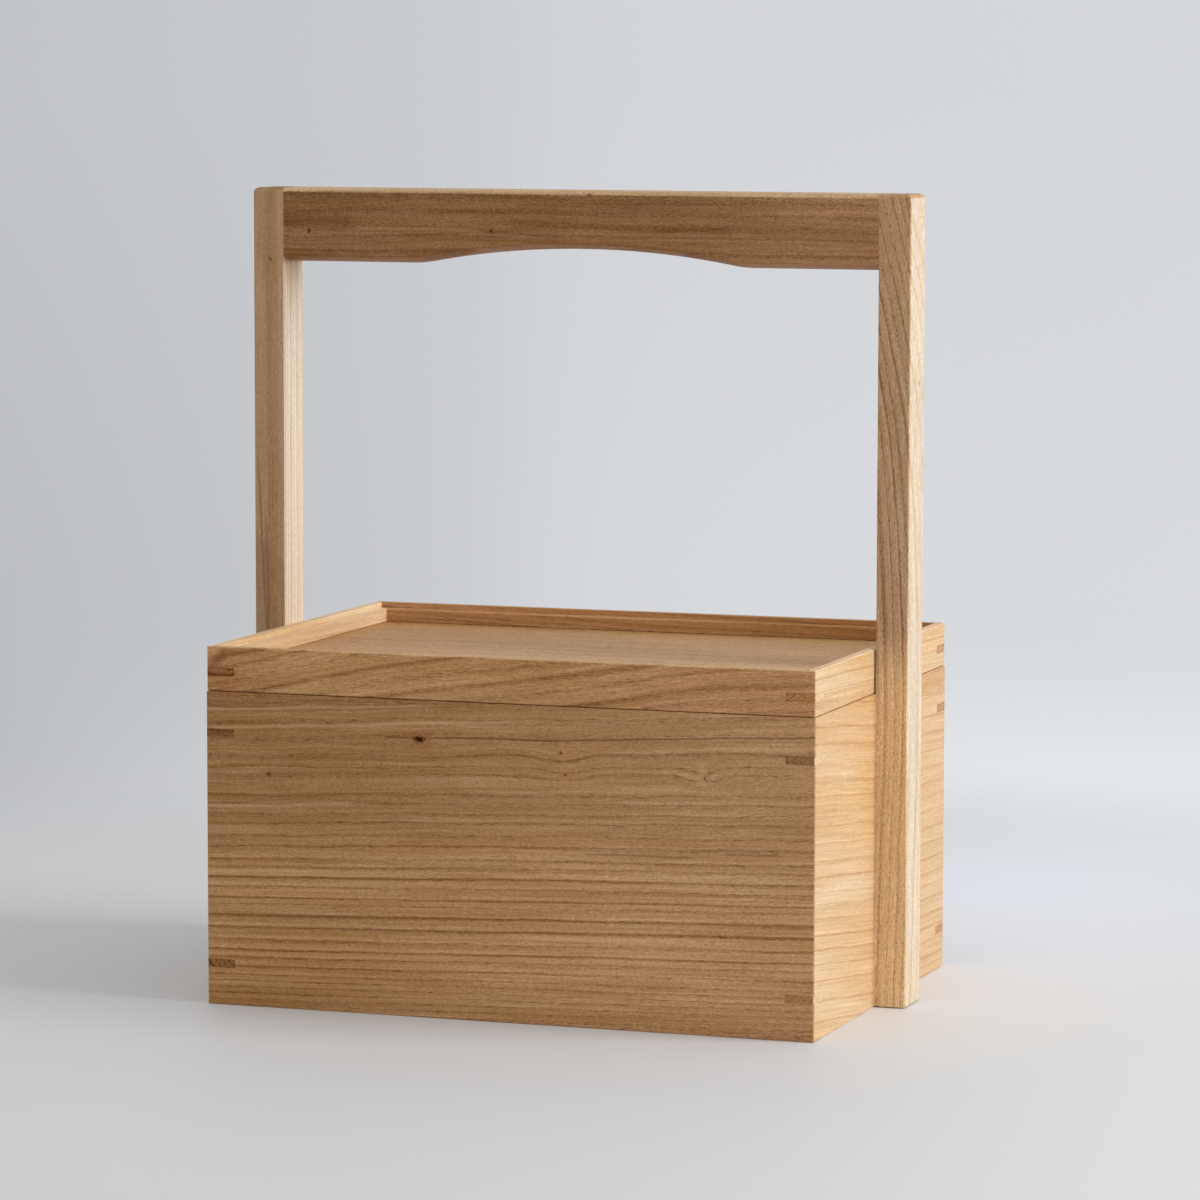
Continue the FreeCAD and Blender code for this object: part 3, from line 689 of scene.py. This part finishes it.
paleStreak = {"width": 1.3, "share": 0.4, "colour": "#dcb185"}
walls = {
    "front": {
        "slope": 2.3,
        "fan": 0.00018,
        "seed": 1,
        "bends": [((170, 60, 60), 1.2), ((32, 7, 7), 0.9)],
        "calm": [(-75, 0.35), (-20, 0.4), (15, 1.1), (75, 1.6)],
        "lineDepth": 0.86,
        "bands": [((150, 3.2, 3.2), 0.085), ((80, 1.6, 1.6), 0.11)],
        "lines": [
            (72, 0.4), (65.2, 0.35), (57.6, 0.3), (49.4, 0.5), (43.4, 0.4), (40, 0.3), (30.4, 0.4),
            (26, 0.45), (21.4, 0.3), (17, 0.45), (11, 0.35), (6, 0.65), (-0.4, 0.5), (-4.2, 0.5),
            (-9.2, 0.8), (-13.8, 0.5), (-19, 0.8), (-22, 0.4), (-27.3, 0.95), (-33.1, 1.0),
            (-39.3, 0.5), (-44.3, 0.85), (-48, 0.55), (-52.8, 0.6), (-57, 0.5), (-60, 0.4),
            (-63, 0.4), (-66, 0.45), (-69, 0.4), (-72, 0.4), (-75, 0.4),
        ],
        "knots": [
            {"at": (-42.5, -109, 131.1), "heart": (3.6, 2.1), "spread": (34, 8), "dark": 1.0},
            {"at": (-118.2, -109, 111.2), "heart": (1.4, 1.2), "spread": (20, 5)},
            {"at": (27.5, -109, 127.8), "spread": (14, 7), "pull": 0, "dip": 3.4},
            {"at": (29.5, -109, 117.7), "spread": (14, 5), "pull": 0, "dip": 2.5},
            {"at": (97.4, -109, 119.0), "spread": (11, 6), "pull": 0, "dip": 3.0},
        ],
        "strokes": [
            {"from": (-41, -109, 131.3), "to": (36, -109, 133.2), "width": 0.8, "share": 0.7},
            {"from": (22, -109, 132.9), "to": (165, -109, 141.5), "width": 0.8, "share": 0.6},
            {"from": (-60, -109, 130.4), "to": (-41, -109, 131.2), "width": 1.0, "share": 0.55},
            {"from": (-165, -109, 140), "to": (-30, -109, 147), **paleStreak},
            {"from": (-165, -109, 130.8), "to": (20, -109, 141.8), **paleStreak},
            {"from": (-165, -109, 93.2), "to": (-70, -109, 99), **paleStreak, "width": 1.2, "share": 0.35},
            # paler wood round the knots
            {
                "from": (28, -109, 134), "to": (29.6, -109, 112),
                "width": 2.6, "share": 0.3, "colour": "#cf9a6c",
            },
            {
                "from": (95, -109, 127), "to": (97.4, -109, 115),
                "width": 3.0, "share": 0.4, "colour": "#d6a878",
            },
            {
                "from": (-50, -109, 134.6), "to": (-37, -109, 135.2),
                "width": 2.2, "share": 0.45, "colour": "#c08355",
            },
            {"from": (38, -109, 81.2), "to": (95, -109, 82.8), "width": 0.9, "share": 0.4},
            {"from": (104, -109, 84.8), "to": (135, -109, 86.2), "width": 0.9, "share": 0.35},
        ],
        "tints": [
            {"from": (0, 0, 56), "to": (0, 0, 103), "wood": "#9b6f42", "share": 0.6},
            {"from": (20, 0, 60), "to": (110, 0, 110), "wood": "#9f764b", "share": 0.42},
            {"from": (0, 0, 24), "to": (0, 0, 3), "wood": "#93602f", "share": 0.3},
            # painted light: paler towards the lower right, where more light falls on the front
            {"from": (-110, 0, 118), "to": (110, 0, 28), "wood": "#e0b182", "line": "#b88a5c", "share": 0.37},
        ],
    },
    "right": {
        **endBoard,
        "bow": [(-109, 11.2), (40, -4.1), (109, -7.5)],
        "seed": 2,
        "lines": [
            (69, 0.5), (58, 0.7), (50, 0.4), (41, 0.3), (33, 0.4), (26, 0.6), (19, 0.4), (12.5, 0.5),
            (4, 0.3), (-4, 0.4), (-11.5, 0.6), (-18.6, 0.6), (-24.4, 0.5), (-31, 0.4), (-38.7, 0.8),
            (-45.2, 0.7), (-52, 0.4), (-59.5, 0.7), (-68.8, 0.6), (-78.3, 0.5), (-86, 0.4),
        ],
        "tints": [
            {"from": (0, 0, 60), "to": (0, 0, 110), "wood": "#c89c68", "share": 0.3},
            # painted shade: darker towards the post, which shades the wall
            {"from": (0, -50, 80), "to": (0, -12, 95), "wood": "#cc9a60", "share": 0.35},
            {"from": (0, 10, 0), "to": (0, 60, 0), "wood": "#c8a984", "share": 0.45},
            {"from": (0, 20, 110), "to": (0, 60, 130), "wood": "#d3b183", "share": 0.25},
        ],
    },
    "rear": {"slope": 1.0, "seed": 3},
    "left": {**endBoard, "slope": -1.5, "seed": 4, "ring": 7, "uneven": 1.2},
}
for side in facing:
    node = side + "_wall"
    dress(node, makeWood("oiledChestnut_" + node, {**outside(node, side), **walls[side]}))

# Lid: the same chestnut. Broad lines sweep up across its front rail, and painted highlights run along its
# edges.

# a painted highlight along the top edge of the lid's rails
lidTopHighlight = {"from": (0, 0, 169.9), "to": (0, 0, 170.2)}
lidRails = {
    "front": {
        "bow": [(-150, -27.1), (-80, -12.5), (-30, -4.4), (0, 0), (60, 9.4), (85, 13.9), (150, 19)],
        "fibreBow": 0.25,
        "bends": [((170, 60, 60), 3.0), ((34, 9, 9), 0.35)],
        "seed": 11,
        "lines": [
            (41, 0.3), (33, 0.4), (27, 0.5), (20, 0.3), (13.3, 0.9), (6.5, 0.35), (-0.4, 0.8),
            (-7, 0.35), (-15, 0.9), (-21, 0.4), (-27, 0.5), (-33, 0.4),
        ],
        "lineEdge": 0.32,
        "lineCore": 0.34,
        "lineTail": 0.48,
        "lineDepth": 0.64,
        "pale": "#c69969",
        "warm": "#be8d5c",
        "bands": [((150, 3.2, 3.2), 0.08), ((60, 1.1, 1.1), 0.1)],
        "fibres": [((12, 0.5, 0.5), 0.1), ((2, 0.45, 0.45), 0.2)],
        "strokeColour": "#6f3f1a",
        "strokes": [
            {"from": (-153.5, -109, 161.5), "to": (-139.5, -109, 176.5), "width": 4.2, "share": 0.5},
            {"from": (-143, -109, 174), "to": (-118, -109, 176), "width": 1.8, "share": 0.35},
        ],
        "tints": [
            {"from": (-105, 0, 0), "to": (-150, 0, 0), "wood": "#a66a35", "share": 0.58},
            {"from": (-144.5, 0, 164), "to": (-147.5, 0, 166.5), "wood": "#cb9e71", "share": 0.85},
            {"from": (20, 0, 0), "to": (150, 0, 0), "line": "#a2744a", "share": 0.7},
            {"from": (0, 0, 0), "to": (120, 0, 0), "wood": "#c89069", "share": 0.45},
            # a painted highlight along the top edge
            {**lidTopHighlight, "wood": "#cea571", "line": "#b98f5e", "share": 0.85},
        ],
    },
    "right": {
        **endBoard, "slope": -2, "seed": 12, "ring": 6,
        # a painted highlight along the top edge
        "tints": [{**lidTopHighlight, "wood": "#ecc799", "line": "#dcb07a", "share": 0.7}],
        # the shade between the lid and the post
        "strokeColour": "#3a2412",
        "strokes": [{"from": (149.7, -13.3, 145.5), "to": (149.7, -13.3, 174.5), "width": 1.9, "share": 0.9}],
    },
    "rear": {
        "slope": 2, "seed": 13, "lineDepth": 0.5, "pale": "#cb9f6f", "warm": "#c39363", "olive": "#bf905f",
        "bands": [((150, 3.2, 3.2), 0.06), ((80, 1.6, 1.6), 0.08)],
        "fibres": [((14, 0.5, 0.5), 0.08), ((2.5, 0.45, 0.45), 0.12)],
        "tints": [
            # a painted highlight along the step's edge
            {
                "from": (0, 99.9, 166.8), "to": (0, 99.6, 167.1),
                "wood": "#ecc08c", "line": "#d3a06c", "share": 0.7,
            },
            # painted shade: darker towards the right, where the right rail shades it
            {"from": (-20, 0, 0), "to": (140, 0, 0), "wood": "#99662c", "share": 0.6},
        ],
    },
    "left": {
        **endBoard, "slope": 2, "seed": 14, "ring": 6, "lineDepth": 0.32,
        "pale": "#e9d2b1", "warm": "#ddbe93", "olive": "#dab889",
        # a painted highlight along the step's tread
        "strokeColour": "#f7d3a0",
        "strokes": [{"from": (-143.1, -125, 167.8), "to": (-143.1, 125, 167.8), "width": 2, "share": 0.6}],
        "tints": [
            # a painted highlight along the outer top edge
            {
                "from": (-149.3, 0, 169.8), "to": (-149.5, 0, 170.1),
                "wood": "#f7d9a8", "line": "#f7d9a8", "share": 0.9,
            },
            {"from": (-141.6, 0, 0), "to": (-141.1, 0, 0), "wood": "#d9b184", "share": 0.5},
            {"from": (-149.3, 0, 0), "to": (-149.6, 0, 0), "wood": "#cfae82", "share": 0.75},
        ],
    },
}
for side in facing:
    node = "lid_" + side + "_rail"
    dress(node, makeWood("oiledChestnut_" + node, {**outside(node, side), **lidRails[side]}))

# Panels: a pale, quiet piece of the same wood, with faint streaks and hardly a line

panels = {
    "lid_panel": {
        "seed": 21, "saturation": 1.0, "ring": 7, "lineDepth": 0.1,
        "pale": "#d2a572", "warm": "#cfa16f", "olive": "#ca9d6b",
        "bands": [((150, 3.2, 3.2), 0.06), ((80, 1.6, 1.6), 0.1)],
        "fibres": [((40, 0.5, 0.5), 0.1), ((2.5, 0.9, 0.9), 0.22)],
        "tints": [
            {"from": (0, -45, 0), "to": (0, 55, 0), "wood": "#a67b49", "share": 0.7},
            {"from": (-40, 0, 0), "to": (-130, 0, 0), "wood": "#ba854c", "share": 0.6},
            # painted light: paler and warmer at the front right, in the right rail's shadow
            {"from": (40, -20, 0), "to": (130, -90, 0), "wood": "#dda569", "share": 0.45},
        ],
    },
    "bottom_board": {"seed": 22},
}
for node, changes in panels.items():
    flat = {"across": (0, 1, 0), "middle": middleOf(node), "pith": (60, -140)}
    dress(node, makeWood("oiledChestnut_" + node, {**flat, **changes}))
print("box and lid dressed")

# Handle: greyer brown posts, pale with painted light on the side towards the window, and a darker rail with a
# painted highlight on top.
# On the right post the lines lean, and its pores show as short dark dashes.

upright = {"along": (0, 0, 1), "across": (-1, 0, 0), "saturation": 1.0}
railStreak = {"share": 0.3, "colour": "#b98e60"}
handle = {
    "left_post": {
        **upright, "seed": 31, "pith": (-14, 60), "ring": 3.4, "bends": [((300, 60, 60), 2.0)],
        "pale": "#b9936f", "warm": "#b08a65", "olive": "#b48e67", "line": "#825630", "lineDepth": 0.85,
        "lineCore": 0.25, "poreDepth": 0.15,
        "bands": [((200, 3, 3), 0.04), ((160, 1.1, 1.1), 0.05)],
        "fibres": [((30, 0.5, 0.5), 0.08), ((2, 0.45, 0.45), 0.14)],
        "knots": [{"at": (-157, -12, 348.7), "heart": (1.4, 0.9), "spread": (14, 4), "dark": 0.5}],
        "strokes": [
            {"from": (-163.4, -12, 255), "to": (-158.8, -12, 160), "width": 1.0, "share": 0.4},
            {"from": (-159.6, -12, 228), "to": (-157.6, -12, 150), "width": 1.3, "share": 0.3},
        ],
        "tints": [
            {"from": (0, -11, 0), "to": (0, -12, 0), "line": "#a87c4d", "share": 0.92},
            {"from": (-162, 0, 215), "to": (-164.5, 0, 212.5), "wood": "#8a6440", "share": 0.35},
            # painted light: the inner face, towards the window, pale cream
            {
                "from": (-150.3, 0, 0), "to": (-150.02, 0, 0),
                "wood": "#e6d8c2", "line": "#cba06a", "pore": "#c9a77c", "share": 0.95,
            },
            # painted shade under the rail, warmed as if by light bounced off it
            {"from": (-150, 0, 320), "to": (-147, 0, 320.3), "wood": "#d2a676", "share": 0.3},
            {
                "from": (0, 0, 346), "to": (0, 0, 349),
                "wood": "#ae8761", "line": "#a88059", "pore": "#84592f", "share": 0.7,
            },
        ],
    },
    "right_post": {
        **upright, "seed": 32, "pith": (53, 28), "ring": 4.0, "uneven": 0.35,
        "bow": [(-192, 4), (-132, 2), (-52, 0), (8, 1.5), (58, 5), (108, 13), (192, 33)],
        "fibreBow": 0.25,
        "bends": [((170, 60, 60), 1.0), ((24, 6, 6), 0.5)],
        "pale": "#c69e78", "warm": "#b98f67", "olive": "#bf966a", "line": "#76441c", "pore": "#572f10",
        "lineDepth": 0.64, "lineCore": 0.22, "lineTail": 0.35, "paleLift": 0.08,
        "bands": [((150, 3, 3), 0.06), ((60, 0.9, 0.9), 0.1)],
        "fibres": [((7, 0.5, 0.5), 0.13), ((1.6, 0.45, 0.45), 0.2)],
        "poreDepth": 0.65, "poreSize": (1.3, 0.65, 0.65), "loosePores": 0.14, "endDepth": 0.05,
        "tints": [
            # painted light: paler below the lid, where the lit wall throws light onto the post
            {
                "from": (0, 0, 182), "to": (0, 0, 150),
                "wood": "#eac999", "line": "#cb975f", "pore": "#a97640", "share": 0.8,
            },
            # painted light: the outer face, towards the window, pale cream
            {
                "from": (165.2, 0, 0), "to": (165.5, 0, 0),
                "wood": "#d1c0a8", "line": "#bb9057", "pore": "#cdb691", "share": 0.9,
            },
        ],
        "knots": [{"at": (165.6, 3, 294.9), "heart": (0.9, 2.5, 0.7), "spread": (8, 3, 3), "pull": 0}],
    },
    "handle_rail": {
        "seed": 33, "saturation": 1.01, "patch": (70, 7, 7), "ring": 5.5, "lineDepth": 0.4, "fleckDepth": 0.1,
        "pale": "#a07246", "warm": "#926438", "olive": "#8e643a", "line": "#683f19", "pore": "#4c2a0c",
        "bands": [((150, 3.2, 3.2), 0.08), ((80, 1.6, 1.6), 0.1)],
        "poreDepth": 0.45, "poreSize": (2.0, 0.5, 0.5), "loosePores": 0.35,
        "fibres": [((30, 0.5, 0.5), 0.08), ((1.3, 0.5, 0.5), 0.22)],
        "knots": [
            {"at": (-136.6, -12, 363.0), "heart": (1.0, 1.5), "spread": (14, 4), "dark": 0.85},
            {"at": (-42.7, -12, 363.8), "heart": (1.0, 1.5), "spread": (14, 4), "dark": 0.9},
            {"at": (7.3, -12, 381.2), "heart": (1.1, 0.9), "spread": (14, 4), "dark": 0.8},
        ],
        "strokes": [
            {"from": (-156, -12, 368), "to": (-112, -12, 366), "width": 7, "share": 0.3},
            {"from": (-50, -12, 362.5), "to": (-5, -12, 361), "width": 3.2, "share": 0.3},
            {"from": (38, -12, 366), "to": (80, -12, 365), "width": 3.5, "share": 0.25},
            {"from": (84, -12, 364.3), "to": (150, -12, 363.5), "width": 2.2, "share": 0.22},
            {"from": (-112, -12, 364.6), "to": (-48, -12, 362.8), "width": 0.9, **railStreak, "share": 0.35},
            {"from": (-62, -12, 361.5), "to": (-18, -12, 360.6), "width": 0.8, **railStreak},
            {"from": (30, -12, 361.3), "to": (142, -12, 360.8), "width": 0.9, **railStreak},
        ],
        "tints": [
            {"from": (-60, 0, 0), "to": (-150, 0, 0), "wood": "#84592f", "share": 0.25},
            {"from": (20, 0, 0), "to": (130, 0, 0), "wood": "#bf9062", "share": 0.38},
            # a painted highlight along the top
            {"from": (0, 0, 380.9), "to": (0, 0, 381.9), "wood": "#d5b084", "line": "#b08a5c", "share": 0.85},
        ],
    },
}
for node, changes in handle.items():
    dress(node, makeWood("oiledChestnut_" + node, {"middle": middleOf(node), **changes}))

# Keys: slips of oiled walnut let in across the corners. They are darker than the boards, and as their fibres
# run across the corner the sawn faces show a slanting hatch; a painted line of shade outlines each slip.

keyLeg = 14             # what shows of a slip on each face
keySeams = (0.45, 0.5)  # widths of its outline of painted shade: along it, and across its end
keyWood = {
    "ring": 1.3, "uneven": 0.4, "lineDepth": 0.6, "patch": (12, 2, 2), "slope": 35, "pith": (20, 40),
    "bands": [((9, 0.9, 0.9), 0.15)], "fibres": [((4, 0.5, 0.5), 0.15)], "strokeDepth": 40, "edge": 0.2,
}
darkKey = {"pale": "#946439", "warm": "#80542d", "olive": "#875c33", "line": "#4c2b12", "pore": "#412611"}
paleKey = {"pale": "#bb8857", "warm": "#ab7848", "olive": "#b07e4d", "line": "#744820", "pore": "#6a4320"}
rearKey = {
    **paleKey, "pale": "#bf9768", "warm": "#b28857", "olive": "#b88d5e", "line": "#8a5f35", "edge": 0.3,
}
# painted light: the end of a slip on the end board that faces the window is painted as pale as the board
likeWall = {
    "from": (149.4, 0, 0), "to": (149.65, 0, 0),
    "wood": "#d9bc96", "line": "#c9a070", "pore": "#c9a070", "share": 0.95,
}
keys = {
    "lid_front_left": {
        **darkKey, "pale": "#ab7442", "warm": "#9a6536", "olive": "#a06c3b", "edge": 0.3,
        "strokes": [
            {"from": (-152, -109, 156.9), "to": (-134, -109, 156.6), "width": 1.0, "share": 0.8},
            {"from": (-152, -109, 160.1), "to": (-138, -109, 160.3), "width": 0.5, "share": 0.5},
            {"from": (-141, -109, 159.0), "to": (-135, -109, 159.2), "width": 0.8, "share": 0.7},
            {"from": (-152, -109, 157.6), "to": (-144, -109, 157.8), "width": 0.9, "share": 0.4},
        ],
    },
    "front_left_upper": {
        **darkKey,
        "strokes": [
            {"from": (-152, -109, 131.2), "to": (-134, -109, 130.6), "width": 1.2, "share": 0.35},
            {
                "from": (-152, -109, 127.6), "to": (-134, -109, 128.2),
                "width": 0.7, "share": 0.4, "colour": "#b0804f",
            },
        ],
    },
    "front_left_lower": {
        **darkKey, "pale": "#a07043", "warm": "#8e6137", "olive": "#94673b", "slope": -48, "edge": 0.3,
        "strokes": [{"from": (-151, -109, 22.4), "to": (-145.8, -109, 17.2), "width": 0.9, "share": 0.75}],
    },
    "lid_front_right": {**paleKey, "tints": [likeWall], "edge": 0.3},
    "front_right_upper": {
        **paleKey, "pale": "#a5784b", "warm": "#93673d", "olive": "#996d43", "tints": [likeWall],
        "strokes": [{"from": (136.4, -109, 126), "to": (136.4, -109, 133), "width": 0.8, "share": 0.6}],
    },
    "front_right_lower": {
        **paleKey, "pale": "#b8895a", "warm": "#ab7d50", "olive": "#ae8154", "tints": [likeWall],
        "edge": 0.15, "lineDepth": 0.35,
    },
    "lid_rear_right": rearKey,
    "rear_right_upper": {**rearKey, "pale": "#b88a60", "warm": "#ab7d52"},
    "rear_right_lower": {**rearKey, "pale": "#c39470", "warm": "#b68662"},
}
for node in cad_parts:
    if node.endswith("_key"):
        slip = {**keyWood, **keys.get(node.removesuffix("_key"), darkKey)}
        corner = Vector((1 if "right" in node else -1, 1 if "rear" in node else -1, 0))
        low, high = (Vector(end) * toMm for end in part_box(node))
        outer = Vector([(high if part > 0 else low)[axis] for axis, part in enumerate(corner)])
        inner = outer - Vector((corner.x * keyLeg, 0, 0))
        dress(node, makeWood("oiledWalnut_" + node, {
            **slip,
            "along": (corner.y, -corner.x, 0), "across": (0, 0, 1), "middle": middleOf(node),
            "seed": 41 + len(node) + int(middleOf(node).z) % 7,
            "seams": [
                (high, (0, 0, 1), keySeams[0], slip["edge"]),
                (low, (0, 0, 1), keySeams[0], slip["edge"]),
                (inner, corner, keySeams[1], slip["edge"]),
            ],
        }))
    if node.endswith("_dowels"):
        # plain beech, pale and even; it shows only where a post is taken off
        dress(node, makeWood("beech_" + node, {
            "middle": middleOf(node), "seed": 51, "pale": "#dcb98c", "warm": "#d3ad7d", "olive": "#d6b284",
            "line": "#b58a58", "pore": "#a87c4c",
        }))
print("handle, keys and dowels dressed")
